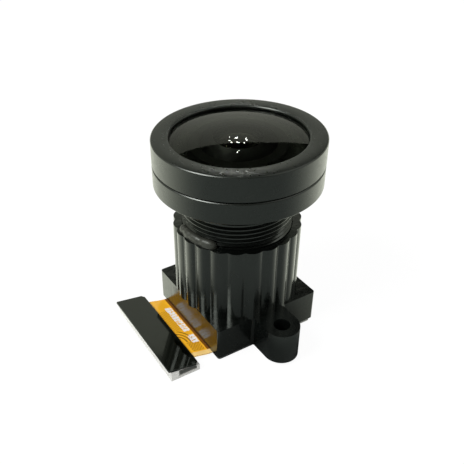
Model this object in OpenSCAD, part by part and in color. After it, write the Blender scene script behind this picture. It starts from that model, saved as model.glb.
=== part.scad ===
// Wide-angle board camera: an M12 lens in a fluted moulded holder, on a short flex circuit.
// Millimetres. The origin is on the lens axis, in the plane of the underside of the holder.

/* [Holder] */
// Wall of the square base where the lens bore comes nearest to its sides
base_wall = 0.46; // [0.3:0.02:1.5]
// Height of the base and of the screw ears
base_h = 3.85; // [3.2:0.05:6]
// Radius of the upright corners of the base
base_corner_r = 0.3; // [0.1:0.05:1]
// Wall of the fluted barrel at the crests of its flutes
flute_wall = 0.96; // [0.7:0.02:1.6]
// Height of the fluted barrel above the base
barrel_h = 8.8; // [6:0.1:10]
// Number of flutes round the barrel
lobes = 23; // [16:1:28]
// Radius of each flute's rounded crest
lobe_r = 1.35; // [1.1:0.05:2]
// Turn of the flutes about the lens axis
lobe_turn = -45.5; // [-60:0.5:60]
// Wall round the sensor cavity
cavity_wall = 1.6; // [1.2:0.1:1.9]
// Depth of the sensor cavity
cavity_h = 1.9; // [1.3:0.1:2.2]
// Thickness of the floor that carries the filter
floor_t = 0.9; // [0.6:0.1:1.4]
// Side of the square window under the lens
window_w = 5.6; // [4.5:0.1:6.2]
// Diameter of the two locating pegs
peg_d = 0.8; // [0.5:0.05:1]

/* [Screw ears] */
// Distance between the two screw holes
ear_spacing = 18; // [17.4:0.1:21]
// Width of each ear
ear_w = 3.9; // [3.2:0.1:5]
// Diameter of each screw hole
ear_hole_d = 1.8; // [1.2:0.1:2.2]
// Radius of the fillet where an ear meets the base
ear_fillet_r = 0.35; // [0.1:0.05:0.8]

/* [Lens thread] */
// Outer diameter of the lens thread
thread_d = 12; // [11:0.1:13.5]
// Pitch of the lens thread
thread_pitch = 0.5; // [0.35:0.05:0.75]
// Depth of the lens thread
thread_depth = 0.27; // [0.15:0.01:0.35]
// Flat on each thread crest, as a share of the pitch
thread_flat = 0.12; // [0.05:0.01:0.2]
// Gap between the thread crests and the bore of the holder
thread_gap = 0.04; // [0.02:0.01:0.1]
// Length of the plain neck between thread and head
neck_h = 2.1; // [1.2:0.1:3]
// Depth of the neck below the thread crests
neck_depth = 0.4; // [0.3:0.05:0.6]
// Height of the lens above the floor of the holder
back_gap = 2.2; // [1.4:0.1:3]

/* [Lens head] */
// Diameter of the head
head_d = 17.8; // [17.4:0.1:20]
// Height of the lower band of the head
lower_band_h = 2.35; // [1.6:0.05:3]
// Gap between the two bands
band_gap = 0.06; // [0.03:0.01:0.2]
// Bevel on the edges of both bands
edge_break = 0.12; // [0.05:0.01:0.2]
// Wall of the front ring outside the spigot
ring_wall = 0.65; // [0.4:0.05:0.8]
// Wall of the spigot round the front glass
spigot_wall = 0.65; // [0.4:0.05:0.8]
// Height of the spigot below the lip of the front ring
spigot_gap = 0.6; // [0.3:0.05:0.9]
// Rise from the top of the lower band to the seat of the front glass
seat_rise = 0.4; // [0.2:0.05:0.6]
// Thickness of the lip over the front glass
lip_t = 0.47; // [0.3:0.01:0.8]
// Reach of the lip over the front glass
lip_reach = 0.5; // [0.3:0.05:0.8]
// Diameter of the rubber cord of the front seal
seal_d = 0.5; // [0.3:0.05:0.6]
// Distance from the seal to the edge of the front glass
seal_inset = 0.55; // [0.4:0.05:0.8]

/* [Glass] */
// Wall of the lens barrel inside the thread
barrel_wall = 1.23; // [1:0.05:1.4]
// Extra radius of the bore for the second element
second_step = 0.3; // [0.1:0.05:0.4]
// Width of the flat land round each inner element
land_w = 1; // [0.8:0.05:1.4]
// Width of the flat land round the second element
second_land_w = 0.7; // [0.5:0.05:1]
// Radial gap between a dome and the ring round it
dome_gap = 0.1; // [0.05:0.01:0.2]
// Edge height of the front element
front_edge = 1.93; // [1.4:0.01:2.6]
// Rise of the front dome above its edge
front_dome = 0.84; // [0.3:0.01:1.2]
// Radius of the hollow in the back of the front element
front_hollow_r = 3.8; // [3:0.1:4.2]
// Depth of the hollow in the back of the front element
front_hollow = 1.75; // [1:0.05:1.9]
// Space from the inner ring to the front element
front_space = 1.4; // [0.9:0.05:2.5]
// Height of the ring that holds the second element
inner_ring_h = 0.9; // [0.5:0.05:1.4]
// Edge height of the second element
second_edge = 1.8; // [1.6:0.05:2.4]
// Rise of the second element's dome
second_dome = 1.46; // [0.8:0.02:1.6]
// Distance of the second element's hollow inside the web's hole
second_hollow_inset = 0.3; // [0.1:0.05:0.6]
// Depth of the hollow in the back of the second element
second_hollow = 1.6; // [1.4:0.05:1.7]
// Thickness of the web between the second and third elements
web_t = 0.5; // [0.4:0.05:0.9]
// Edge height of the third element
third_edge = 1.3; // [0.9:0.05:2]
// Rise of the third element's front dome
third_dome = 0.75; // [0.3:0.05:1]
// Rise of the third element's rear dome
third_rear_dome = 0.75; // [0.3:0.05:1]
// Space between the third element and the aperture stop
third_space = 0.65; // [0.3:0.05:1.2]
// Diameter of the aperture
stop_hole_d = 2.6; // [1.6:0.1:3.6]
// Thickness of the aperture stop
stop_t = 0.15; // [0.1:0.01:0.3]
// Space between the aperture stop and the fourth element
stop_space = 0.08; // [0.05:0.01:0.4]
// Rise of the fourth element's front dome
fourth_dome = 0.52; // [0.3:0.02:0.8]
// Edge height of the fourth element
fourth_edge = 0.95; // [0.7:0.05:1.5]
// Rise of the cemented surface
cement_dome = 1.3; // [0.8:0.05:1.5]
// Thickness of the cement
cement_t = 0.02; // [0.01:0.01:0.05]
// Edge height of the fifth element
fifth_edge = 2.4; // [2.1:0.05:3]
// Rise of the rear element's front dome
rear_dome = 0.7; // [0.3:0.05:1]
// Space between the rear element and the fifth element
rear_space = 0.2; // [0.1:0.05:0.6]
// Edge height of the rear element
rear_edge = 1.3; // [0.9:0.05:2]
// Rise of the rear element's back dome
rear_back_dome = 0.4; // [0.2:0.05:0.7]
// Height of the threaded rear ring
rear_ring_h = 1.2; // [0.8:0.05:1.6]
// Depth of the rear ring inside the barrel
rear_inset = 0.4; // [0.1:0.05:0.8]
// Radial gap round every inner element and ring
glass_gap = 0.02; // [0.01:0.01:0.05]

/* [Filter and sensor] */
// Side of the infrared filter
filter_w = 7; // [6.6:0.1:7.6]
// Thickness of the infrared filter
filter_t = 0.3; // [0.2:0.05:0.6]
// Depth of the filter's pocket
pocket_h = 0.15; // [0.1:0.01:0.25]
// Width of the glue line round the filter
filter_glue_w = 0.15; // [0.08:0.01:0.25]
// Length of the sensor
sensor_l = 6.4; // [5.4:0.1:7]
// Width of the sensor
sensor_w = 5.9; // [5.2:0.1:6.6]
// Thickness of the sensor's silicon
die_t = 0.25; // [0.15:0.01:0.35]
// Height of the dam between silicon and cover glass
dam_h = 0.05; // [0.03:0.01:0.1]
// Width of the dam
dam_w = 0.4; // [0.2:0.05:0.6]
// Thickness of the sensor's cover glass
cover_t = 0.4; // [0.2:0.05:0.5]
// Height of the solder balls
ball_h = 0.2; // [0.14:0.01:0.25]
// Diameter of the solder balls at their middle
ball_d = 0.3; // [0.26:0.01:0.4]
// Diameter of the solder balls where they are wetted
ball_foot_d = 0.22; // [0.15:0.01:0.25]
// Distance between neighbouring solder balls
ball_pitch = 0.8; // [0.7:0.05:1]
// Length of a chip capacitor
chip_l = 1; // [0.8:0.05:1.1]
// Width and height of a chip capacitor
chip_w = 0.5; // [0.3:0.05:0.55]
// Height of a chip resistor
resistor_h = 0.35; // [0.2:0.05:0.4]
// Side of the voltage regulator
regulator_w = 0.95; // [0.7:0.05:1.05]
// Height of the voltage regulator
regulator_h = 0.5; // [0.3:0.05:0.7]

/* [Flex circuit] */
// Thickness of the glue between holder and flex circuit
glue_t = 0.06; // [0.03:0.01:0.1]
// Width of the glue track under the holder
glue_w = 1.15; // [1.1:0.05:1.3]
// Distance of the board part's edge inside the base
board_inset = 0.2; // [0.1:0.05:0.5]
// Thickness of the flex circuit
flex_t = 0.14; // [0.1:0.01:0.2]
// Width of the tail
tail_w = 10.75; // [9:0.05:12]
// Shift of the tail along the side of the base
tail_shift = 0.15; // [-0.5:0.05:0.5]
// Free length of the tail between base and connector
tail_free = 2.45; // [2:0.05:8]
// Rise of the tail to the middle of the connector
tail_rise = 0.8; // [0.6:0.05:1.2]
// Thickness of the steel plate under the board part
stiffener_t = 0.3; // [0.2:0.05:0.6]

/* [Connector] */
// Length of the connector's black plate
plate_l = 13.3; // [12.2:0.1:16]
// Width of the black plate
plate_w = 3.7; // [3.3:0.05:5]
// Thickness of the black plate
plate_t = 0.2; // [0.15:0.05:0.8]
// Lean of the plate towards the base, in degrees
plate_lean = 9; // [0:0.5:10]
// Cut across the two inner corners of the plate
plate_cut = 0.35; // [0.1:0.05:0.8]
// Margin of the plate outside the housing
housing_margin = 0.08; // [0.02:0.01:0.3]
// Shift of the housing towards the base
housing_shift = 0.25; // [0.1:0.05:0.4]
// Wall of the connector housing
housing_wall = 0.75; // [0.6:0.05:0.85]
// Thickness of the roof of the connector housing
housing_roof = 0.3; // [0.2:0.05:0.4]
// Width of the tongue in the connector housing
tongue_w = 0.6; // [0.4:0.05:0.8]
// Distance between neighbouring contacts
contact_pitch = 0.8; // [0.6:0.05:1.2]
// Number of contacts in each row
contacts = 13; // [6:1:14]
// Width of a contact
contact_w = 0.3; // [0.2:0.02:0.45]
// Thickness of a contact
contact_t = 0.1; // [0.06:0.01:0.15]
// Width of the hold-down tab at each end of the connector
tab_w = 2.2; // [1.2:0.1:2.3]
// Thickness of the hold-down tabs
tab_t = 0.12; // [0.08:0.01:0.2]
// Depth of each tab's recess
tab_recess = 0.25; // [0.2:0.01:0.4]
// Shift of the tabs inside the housing
tab_shift = 0.3; // [0:0.05:0.4]

/* [Adhesive bead] */
// Start of the adhesive bead round the lens
bead_start = 168; // [100:1:200]
// Arc of the adhesive bead
bead_arc = 49; // [20:1:90]
// Height of the bead on the rim
bead_h = 0.85; // [0.4:0.05:1.2]
// Width of the bead on the rim
bead_w = 0.72; // [0.4:0.02:0.8]

/* [Hidden] */
$fn = 96;
over = 1;                                    // how far a cutter runs past what it cuts
bore_r = thread_d / 2 + thread_gap;
base_w = 2 * (bore_r + base_wall);
holder_top = base_h + barrel_h;
cavity_w = base_w - 2 * cavity_wall;
floor_top = cavity_h + floor_t;
lobe_ring_r = bore_r + flute_wall - lobe_r;
ear_y = ear_spacing / 2;
peg_at = base_w / 2 - cavity_wall / 2;

// heights along the lens axis, from the back of the lens to its front
lens_z = floor_top + back_gap;
rear_ring_z = lens_z + rear_inset;
rear_z = rear_ring_z + rear_ring_h;
lower_spacer_z = rear_z + rear_edge;
lower_spacer_h = rear_dome + rear_space;
fifth_z = lower_spacer_z + lower_spacer_h;
fourth_z = fifth_z + fifth_edge;
stop_spacer_z = fourth_z + fourth_edge;
stop_spacer_h = fourth_dome + stop_space;
stop_z = stop_spacer_z + stop_spacer_h;
upper_spacer_z = stop_z + stop_t;
upper_spacer_h = third_rear_dome + third_space;
third_z = upper_spacer_z + upper_spacer_h;
web_z = third_z + third_edge;
second_z = web_z + web_t;
inner_ring_z = second_z + second_edge;
seat_z = inner_ring_z + inner_ring_h + front_space;
lip_z = seat_z + front_edge + glass_gap;
ring_top = lip_z + lip_t;
spigot_top = lip_z - spigot_gap;
band_z = seat_z - seat_rise;
head_z = band_z - lower_band_h;
thread_top = head_z - neck_h;

// radii of the lens barrel and of what it holds
bore_in_r = thread_d / 2 - thread_depth - barrel_wall;
bore_up_r = bore_in_r + second_step;
inner_r = bore_in_r - glass_gap;
second_r = bore_up_r - glass_gap;
dome_r = inner_r - land_w;
second_dome_r = second_r - second_land_w;
web_hole_r = dome_r + dome_gap;
spigot_r = head_d / 2 - ring_wall - glass_gap;
front_pocket_r = spigot_r - spigot_wall;
front_r = front_pocket_r - glass_gap;
front_sphere_r = (front_r * front_r + front_dome * front_dome) / (2 * front_dome);
seal_r = front_r - seal_inset - seal_d / 2;

// levels of the flex circuit and of the connector
flex_top = -glue_t;
flex_under = flex_top - flex_t;
rest_z = flex_under - stiffener_t;
board_w = base_w - 2 * board_inset;
die_z = flex_top + ball_h;
plate_x1 = -base_w / 2 - tail_free;
plate_x0 = plate_x1 - plate_w;
plate_mid = (plate_x0 + plate_x1) / 2;
plate_z = flex_top + tail_rise;
lean_slope = tan(plate_lean);
lean_t = flex_t / cos(plate_lean);           // upright thickness of the leaning flex circuit
housing_w = plate_w - 2 * housing_margin;
housing_mid = plate_mid + housing_shift;
housing_x0 = housing_mid - housing_w / 2;
housing_x1 = housing_mid + housing_w / 2;
bend_l = -base_w / 2 - housing_x1;
bend_rise = under_z(housing_x1) - flex_under;
housing_l = plate_l - 2 * housing_margin;
trench_w = housing_w - 2 * housing_wall;
trench_l = housing_l - 2 * housing_wall;
trench_h = under_z(housing_mid + trench_w / 2) - rest_z - housing_roof;
tab_x = housing_mid + tab_shift;
tab_top = under_z(tab_x + tab_w / 2);
tab_z = rest_z + housing_roof;
chip_at = (cavity_w + sensor_l) / 4;         // halfway between the sensor and the cavity's wall
chip_step = 2 * chip_l;

// height of the leaning flex circuit's underside over the connector housing, at x
function under_z(x) = plate_z - lean_t + lean_slope * (plate_mid - x);

// how far the front dome lies below its top, at radius r
function dome_sag(r) = front_sphere_r - sqrt(front_sphere_r * front_sphere_r - r * r);

// a square with rounded corners, on the lens axis
module rounded_square(w, r) {
    square([w - 2 * r, w], center = true);
    square([w, w - 2 * r], center = true);
    for (x = [-1, 1])
        for (y = [-1, 1])
            translate([x * (w / 2 - r), y * (w / 2 - r)])
                circle(r = r);
}

// a spherical cap: base circle of radius a at height 0, rising to s
module cap(a, s) {
    sphere_r = (a * a + s * s) / (2 * s);
    intersection() {
        translate([0, 0, s - sphere_r])
            sphere(r = sphere_r);
        translate([0, 0, s])
            cube([4 * sphere_r, 4 * sphere_r, 2 * s], center = true);
    }
}

// a flat ring
module ring(outer_r, inner_r, h) {
    difference() {
        cylinder(r = outer_r, h = h);
        translate([0, 0, -over])
            cylinder(r = inner_r, h = h + 2 * over);
    }
}

// a lens with flat lands: domes of height front and back, or 0 for none
module element(r, edge, dome_a, front, back) {
    cylinder(r = r, h = edge);
    if (front > 0)
        translate([0, 0, edge])
            cap(dome_a, front);
    if (back > 0)
        mirror([0, 0, 1])
            cap(dome_a, back);
}

// one ear, pointing to +Y, with fillets into the base
module ear_outline() {
    translate([-ear_w / 2, 0])
        square([ear_w, ear_y]);
    translate([0, ear_y])
        circle(d = ear_w);
    for (side = [-1, 1])
        translate([side * ear_w / 2, base_w / 2])
            difference() {
                translate([side > 0 ? 0 : -ear_fillet_r, 0])
                    square(ear_fillet_r);
                translate([side * ear_fillet_r, ear_fillet_r])
                    circle(r = ear_fillet_r);
            }
}

module fluted_outline() {
    circle(r = lobe_ring_r + lobe_r / 2);
    for (i = [0 : lobes - 1])
        rotate(lobe_turn + i * 360 / lobes)
            translate([lobe_ring_r, 0])
                circle(r = lobe_r);
}

module peg_places() {
    for (s = [-1, 1])
        translate([s * peg_at, s * peg_at, 0])
            children();
}

module lens_holder() {
    color("#1b1d1c")
        difference() {
            union() {
                linear_extrude(base_h) {
                    rounded_square(base_w, base_corner_r);
                    ear_outline();
                    mirror([0, 1])
                        ear_outline();
                }
                translate([0, 0, base_h])
                    linear_extrude(barrel_h)
                        fluted_outline();
                peg_places()
                    translate([0, 0, rest_z])
                        cylinder(d = peg_d, h = over - rest_z);
            }
            translate([0, 0, floor_top])
                cylinder(r = bore_r, h = holder_top);
            translate([0, 0, cavity_h / 2 - over / 2])
                cube([cavity_w, cavity_w, cavity_h + over], center = true);
            translate([0, 0, cavity_h])
                cube([window_w, window_w, 2 * floor_t + over], center = true);
            translate([0, 0, floor_top])
                cube([filter_w + 2 * filter_glue_w, filter_w + 2 * filter_glue_w, 2 * pocket_h],
                    center = true);
            for (s = [-1, 1])
                translate([0, s * ear_y, -over])
                    cylinder(d = ear_hole_d, h = base_h + 2 * over);
        }
}

// half section of the lens barrel's outside, from the back of the thread to the spigot
function thread_outline() = let (
    crest = thread_d / 2,
    root = crest - thread_depth,
    low = (1 - thread_flat) / 2,
    turns = floor((thread_top - lens_z) / thread_pitch) - 1
) [
    for (i = [0 : turns])
        for (p = [[root, 0], [crest, low], [crest, low + thread_flat], [root, 1]])
            [p[0], thread_top - (turns + 1 - i - p[1]) * thread_pitch]
];

module lens_barrel() {
    color("#262827")
        rotate_extrude()
            polygon(concat(
                [[bore_in_r, lens_z], [thread_d / 2 - thread_depth, lens_z]],
                thread_outline(),
                [
                    [thread_d / 2 - neck_depth, thread_top],
                    [thread_d / 2 - neck_depth, head_z],
                    [head_d / 2 - edge_break, head_z],
                    [head_d / 2, head_z + edge_break],
                    [head_d / 2, band_z - edge_break],
                    [head_d / 2 - edge_break, band_z],
                    [spigot_r, band_z],
                    [spigot_r, spigot_top],
                    [front_pocket_r, spigot_top],
                    [front_pocket_r, seat_z],
                    [seal_r + seal_d / 2 + glass_gap, seat_z],
                    [seal_r + seal_d / 2 + glass_gap, seat_z - seal_d],
                    [seal_r - seal_d / 2 - glass_gap, seat_z - seal_d],
                    [seal_r - seal_d / 2 - glass_gap, seat_z],
                    [bore_up_r, seat_z],
                    [bore_up_r, second_z],
                    [web_hole_r, second_z],
                    [web_hole_r, web_z],
                    [bore_in_r, web_z]
                ]));
}

module front_ring() {
    ring_z = band_z + band_gap;
    hole_r = front_r - lip_reach;
    dome_rise = front_dome - dome_sag(hole_r);
    color("#2a2c2b")
        rotate_extrude()
            polygon([
                [spigot_r + glass_gap, ring_z],
                [head_d / 2 - edge_break, ring_z],
                [head_d / 2, ring_z + edge_break],
                [head_d / 2, ring_top - edge_break],
                [head_d / 2 - edge_break, ring_top],
                [hole_r + edge_break, ring_top],
                [hole_r, ring_top - edge_break],
                [hole_r, lip_z + dome_rise],
                [front_r, lip_z],
                [spigot_r + glass_gap, lip_z]
            ]);
}

module front_seal() {
    color("#111111")
        translate([0, 0, seat_z - seal_d / 2])
            rotate_extrude()
                translate([seal_r, 0])
                    circle(d = seal_d);
}

module front_element() {
    color("#3c4038")
        translate([0, 0, seat_z])
            difference() {
                intersection() {
                    cylinder(r = front_r, h = front_edge + front_dome);
                    translate([0, 0, front_edge + front_dome - front_sphere_r])
                        sphere(r = front_sphere_r);
                }
                cap(front_hollow_r, front_hollow);
            }
}

module inner_ring() {
    color("#202221")
        translate([0, 0, inner_ring_z])
            ring(second_r, second_dome_r + dome_gap, inner_ring_h);
}

module second_element() {
    color("#4a5248")
        translate([0, 0, second_z])
            difference() {
                element(second_r, second_edge, second_dome_r, second_dome, 0);
                cap(web_hole_r - second_hollow_inset, second_hollow);
            }
}

module third_element() {
    color("#59614f")
        translate([0, 0, third_z])
            element(inner_r, third_edge, dome_r, third_dome, third_rear_dome);
}

module upper_spacer() {
    color("#202221")
        translate([0, 0, upper_spacer_z])
            ring(inner_r, web_hole_r, upper_spacer_h);
}

module aperture_stop() {
    color("#0c0c0c")
        translate([0, 0, stop_z])
            ring(inner_r, stop_hole_d / 2, stop_t);
}

module stop_spacer() {
    color("#202221")
        translate([0, 0, stop_spacer_z])
            ring(inner_r, web_hole_r, stop_spacer_h);
}

module fourth_element() {
    color("#59614f")
        translate([0, 0, fourth_z])
            element(inner_r, fourth_edge, dome_r, fourth_dome, cement_dome);
}

module fifth_element() {
    color("#4a5248")
        translate([0, 0, fifth_z])
            difference() {
                cylinder(r = inner_r, h = fifth_edge);
                translate([0, 0, fifth_edge])
                    mirror([0, 0, 1])
                        cap(dome_r + cement_t, cement_dome + cement_t);
            }
}

module lower_spacer() {
    color("#202221")
        translate([0, 0, lower_spacer_z])
            ring(inner_r, web_hole_r, lower_spacer_h);
}

module rear_element() {
    color("#59614f")
        translate([0, 0, rear_z])
            element(inner_r, rear_edge, dome_r, rear_dome, rear_back_dome);
}

module rear_ring() {
    color("#202221")
        translate([0, 0, rear_ring_z])
            ring(inner_r, web_hole_r, rear_ring_h);
}

module infrared_filter() {
    color("#9fc4b8")
        translate([0, 0, floor_top - pocket_h + filter_t / 2])
            cube([filter_w, filter_w, filter_t], center = true);
}

module filter_adhesive() {
    outer_w = filter_w + 2 * filter_glue_w;
    color("#d8d2b8")
        translate([0, 0, floor_top - pocket_h])
            linear_extrude(pocket_h)
                difference() {
                    square(outer_w, center = true);
                    square(filter_w, center = true);
                }
}

module sensor_cover() {
    color("#b9cbd0")
        translate([0, 0, die_z + die_t + dam_h + cover_t / 2])
            cube([sensor_l, sensor_w, cover_t], center = true);
}

module sensor_dam() {
    color("#3a3a36")
        translate([0, 0, die_z + die_t])
            linear_extrude(dam_h)
                difference() {
                    square([sensor_l, sensor_w], center = true);
                    square([sensor_l - 2 * dam_w, sensor_w - 2 * dam_w], center = true);
                }
}

module sensor_die() {
    color("#545a68")
        translate([0, 0, die_z + die_t / 2])
            cube([sensor_l, sensor_w, die_t], center = true);
}

module sensor_balls() {
    columns = floor((sensor_l - ball_d) / ball_pitch);
    rows = floor((sensor_w - ball_d) / ball_pitch);
    color("#c9ccce")
        for (i = [0 : columns])
            for (j = [0 : rows])
                translate([(i - columns / 2) * ball_pitch, (j - rows / 2) * ball_pitch, flex_top])
                    rotate_extrude()
                        polygon([
                            [0, 0],
                            [ball_foot_d / 2, 0],
                            [ball_d / 2, ball_h / 2],
                            [ball_foot_d / 2, ball_h],
                            [0, ball_h]
                        ]);
}

module chip(h) {
    translate([0, 0, flex_top + h / 2])
        cube([chip_w, chip_l, h], center = true);
}

module chip_capacitors() {
    color("#b08d63")
        for (side = [0, 180])
            for (i = [-1 : 1])
                rotate(side)
                    translate([chip_at, i * chip_step, 0])
                        chip(chip_w);
}

module chip_resistors() {
    color("#1e2326")
        for (side = [90, 270])
            for (i = [-1 : 0])
                rotate(side)
                    translate([chip_at, i * chip_step, 0])
                        chip(resistor_h);
}

module voltage_regulator() {
    color("#2c2f33")
        rotate(90)
            translate([chip_at, chip_step, flex_top + regulator_h / 2])
                cube([regulator_w, regulator_w, regulator_h], center = true);
}

module holder_adhesive() {
    color("#d9d4bd")
        difference() {
            translate([0, 0, flex_top])
                linear_extrude(glue_t)
                    difference() {
                        rounded_square(board_w, base_corner_r);
                        square(board_w - 2 * glue_w, center = true);
                    }
            peg_holes();
        }
}

module peg_holes() {
    peg_places()
        translate([0, 0, rest_z - over])
            cylinder(d = peg_d + 2 * glass_gap, h = 3 * over);
}

// height of the tail's underside, where t runs from 0 at the base to 1 at the connector
function tail_z(t) = flex_under + bend_rise * t * t * (3 - 2 * t)
    - lean_slope * bend_l * t * t * (1 - t);

module flex_circuit() {
    steps = 10;
    lower = [for (i = [0 : steps]) [-base_w / 2 - bend_l * i / steps, tail_z(i / steps)]];
    upper = [for (i = [steps : -1 : 0]) lower[i] + [0, flex_t + (lean_t - flex_t) * i / steps]];
    color("#d98a1f")
        difference() {
            union() {
                translate([0, 0, flex_under])
                    linear_extrude(flex_t)
                        rounded_square(board_w, base_corner_r);
                translate([0, tail_shift + tail_w / 2, 0])
                    rotate([90, 0, 0])
                        linear_extrude(tail_w)
                            polygon(concat(
                                [[0, flex_under]],
                                lower,
                                [[housing_x0, under_z(housing_x0)],
                                    [housing_x0, under_z(housing_x0) + lean_t]],
                                upper,
                                [[0, flex_top]]));
            }
            peg_holes();
        }
}

module base_stiffener() {
    color("#a9adb0")
        difference() {
            translate([0, 0, rest_z])
                linear_extrude(stiffener_t)
                    rounded_square(board_w, base_corner_r);
            peg_holes();
        }
}

module adhesive_bead() {
    inner = thread_d / 2;
    color("#4b4a3e")
        translate([0, 0, holder_top])
            rotate(bead_start)
                rotate_extrude(angle = bead_arc)
                    intersection() {
                        translate([inner, 0])
                            square([bead_w, bead_h]);
                        translate([inner, 0])
                            circle(r = bead_h);
                        translate([inner + bead_w - bead_h, 0])
                            circle(r = bead_h);
                    }
}

module connector_plate() {
    color("#131414")
        translate([plate_mid, tail_shift, plate_z])
            rotate([0, plate_lean, 0])
                linear_extrude(plate_t)
                    polygon([
                        [-plate_w / 2, -plate_l / 2],
                        [plate_w / 2 - plate_cut, -plate_l / 2],
                        [plate_w / 2, -plate_l / 2 + plate_cut],
                        [plate_w / 2, plate_l / 2 - plate_cut],
                        [plate_w / 2 - plate_cut, plate_l / 2],
                        [-plate_w / 2, plate_l / 2]
                    ]);
}

module connector_housing() {
    color("#c8c8c2")
        difference() {
            translate([0, tail_shift + housing_l / 2, 0])
                rotate([90, 0, 0])
                    linear_extrude(housing_l)
                        polygon([
                            [housing_x0, rest_z],
                            [housing_x1, rest_z],
                            [housing_x1, under_z(housing_x1)],
                            [housing_x0, under_z(housing_x0)]
                        ]);
            translate([housing_mid, tail_shift, rest_z])
                difference() {
                    translate([0, 0, (trench_h - over) / 2])
                        cube([trench_w, trench_l, trench_h + over], center = true);
                    cube([tongue_w, trench_l - 2 * tongue_w, 2 * (trench_h + over)], center = true);
                }
            for (s = [-1, 1])
                translate([tab_x, tail_shift + s * housing_l / 2, tab_z + plate_z])
                    cube([tab_w, 2 * tab_recess, 2 * plate_z], center = true);
        }
}

module connector_contacts() {
    color("#caa24a")
        for (side = [0, 180])
            for (i = [0 : contacts - 1])
                translate([housing_mid, tail_shift + (i - (contacts - 1) / 2) * contact_pitch, 0])
                    rotate(side)
                        translate([0, contact_w / 2, 0])
                            rotate([90, 0, 0])
                                linear_extrude(contact_w)
                                    polygon([
                                        [trench_w / 2, rest_z + contact_t],
                                        [trench_w / 2, rest_z + trench_h],
                                        [tongue_w / 2, rest_z + trench_h],
                                        [tongue_w / 2, rest_z + trench_h - contact_t],
                                        [trench_w / 2 - contact_t, rest_z + trench_h - contact_t],
                                        [trench_w / 2 - contact_t, rest_z + contact_t]
                                    ]);
}

module connector_tabs() {
    color("#8d9194")
        for (s = [-1, 1])
            translate([tab_x,
                    tail_shift + s * (housing_l / 2 - tab_recess + tab_t / 2),
                    (tab_z + tab_top) / 2])
                cube([tab_w, tab_t, tab_top - tab_z], center = true);
}

lens_holder();
lens_barrel();
front_ring();
front_seal();
front_element();
inner_ring();
second_element();
third_element();
upper_spacer();
aperture_stop();
stop_spacer();
fourth_element();
fifth_element();
lower_spacer();
rear_element();
rear_ring();
infrared_filter();
filter_adhesive();
sensor_cover();
sensor_dam();
sensor_die();
sensor_balls();
chip_capacitors();
chip_resistors();
voltage_regulator();
holder_adhesive();
flex_circuit();
base_stiffener();
adhesive_bead();
connector_plate();
connector_housing();
connector_contacts();
connector_tabs();
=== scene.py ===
import math

import bmesh
import bpy
from mathutils import Matrix, Vector


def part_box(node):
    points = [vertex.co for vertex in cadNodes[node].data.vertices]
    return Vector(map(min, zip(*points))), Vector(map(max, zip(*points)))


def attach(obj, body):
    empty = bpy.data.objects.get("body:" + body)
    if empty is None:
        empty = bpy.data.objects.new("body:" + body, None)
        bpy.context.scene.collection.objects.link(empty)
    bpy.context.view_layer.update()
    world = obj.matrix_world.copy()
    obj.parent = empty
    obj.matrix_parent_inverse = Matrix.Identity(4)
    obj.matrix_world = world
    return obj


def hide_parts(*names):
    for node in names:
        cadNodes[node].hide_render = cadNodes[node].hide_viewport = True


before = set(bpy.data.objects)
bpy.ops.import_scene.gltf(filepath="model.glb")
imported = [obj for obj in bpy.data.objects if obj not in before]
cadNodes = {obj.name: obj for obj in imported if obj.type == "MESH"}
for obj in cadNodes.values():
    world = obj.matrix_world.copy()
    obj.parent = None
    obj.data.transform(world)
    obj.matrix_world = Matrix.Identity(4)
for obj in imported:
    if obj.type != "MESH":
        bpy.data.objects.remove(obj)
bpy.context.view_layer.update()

metre = 1000.0                       # pieces are modelled in millimetres and settled in metres
hair = 0.001                         # a length too small to matter, in millimetres
turningSteps = 192                   # around a turned piece
arcSteps = 32                        # along a dome's section
print("frame loaded:", len(cadNodes), "nodes")


def boxOf(node):
    low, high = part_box(node)
    return low * metre, high * metre


holderLow, holderHigh = boxOf("lens_holder")
barrelLow, barrelHigh = boxOf("lens_barrel")
ringLow, ringHigh = boxOf("front_ring")
glassLow, glassHigh = boxOf("front_element")
flexLow = boxOf("flex_circuit")[0]
plateLow, plateHigh = boxOf("connector_plate")
housingLow, housingHigh = boxOf("connector_housing")
restZ = housingLow.z                 # the connector and the steel plate stand on the floor


# modelling helpers

def clearSelection():
    if bpy.context.object and bpy.context.object.mode == "EDIT":
        bpy.ops.object.mode_set(mode="OBJECT")
    bpy.ops.object.select_all(action="DESELECT")


def activate(piece):
    clearSelection()
    piece.select_set(True)
    bpy.context.view_layer.objects.active = piece


def startEdit(piece):
    activate(piece)
    bpy.ops.object.mode_set(mode="EDIT")
    bpy.context.tool_settings.mesh_select_mode = (True, False, False)
    bpy.ops.mesh.select_all(action="DESELECT")


def endEdit():
    bpy.ops.object.mode_set(mode="OBJECT")


def pick(kind, test):
    bpy.ops.mesh.select_all(action="DESELECT")
    bpy.context.tool_settings.mesh_select_mode = [kind == name for name in ("VERT", "EDGE", "FACE")]
    shape = bmesh.from_edit_mesh(bpy.context.object.data)
    items = {"VERT": shape.verts, "EDGE": shape.edges, "FACE": shape.faces}[kind]
    for item in items:
        if test(item):
            item.select_set(True)
    shape.select_flush_mode()
    bmesh.update_edit_mesh(bpy.context.object.data)


def middle(edge):
    return (edge.verts[0].co + edge.verts[1].co) / 2


def isUpright(edge):
    along = edge.verts[1].co - edge.verts[0].co
    return abs(along.z) > 0.99 * along.length


def near(a, b, slack=0.01):
    return abs(a - b) < slack


def newCube(name, low, high):
    clearSelection()
    low, high = Vector(low), Vector(high)
    bpy.ops.mesh.primitive_cube_add(size=1, location=(low + high) / 2, scale=high - low)
    piece = bpy.context.object
    piece.name = name
    bpy.ops.object.transform_apply(location=True, rotation=True, scale=True)
    return piece


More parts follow.
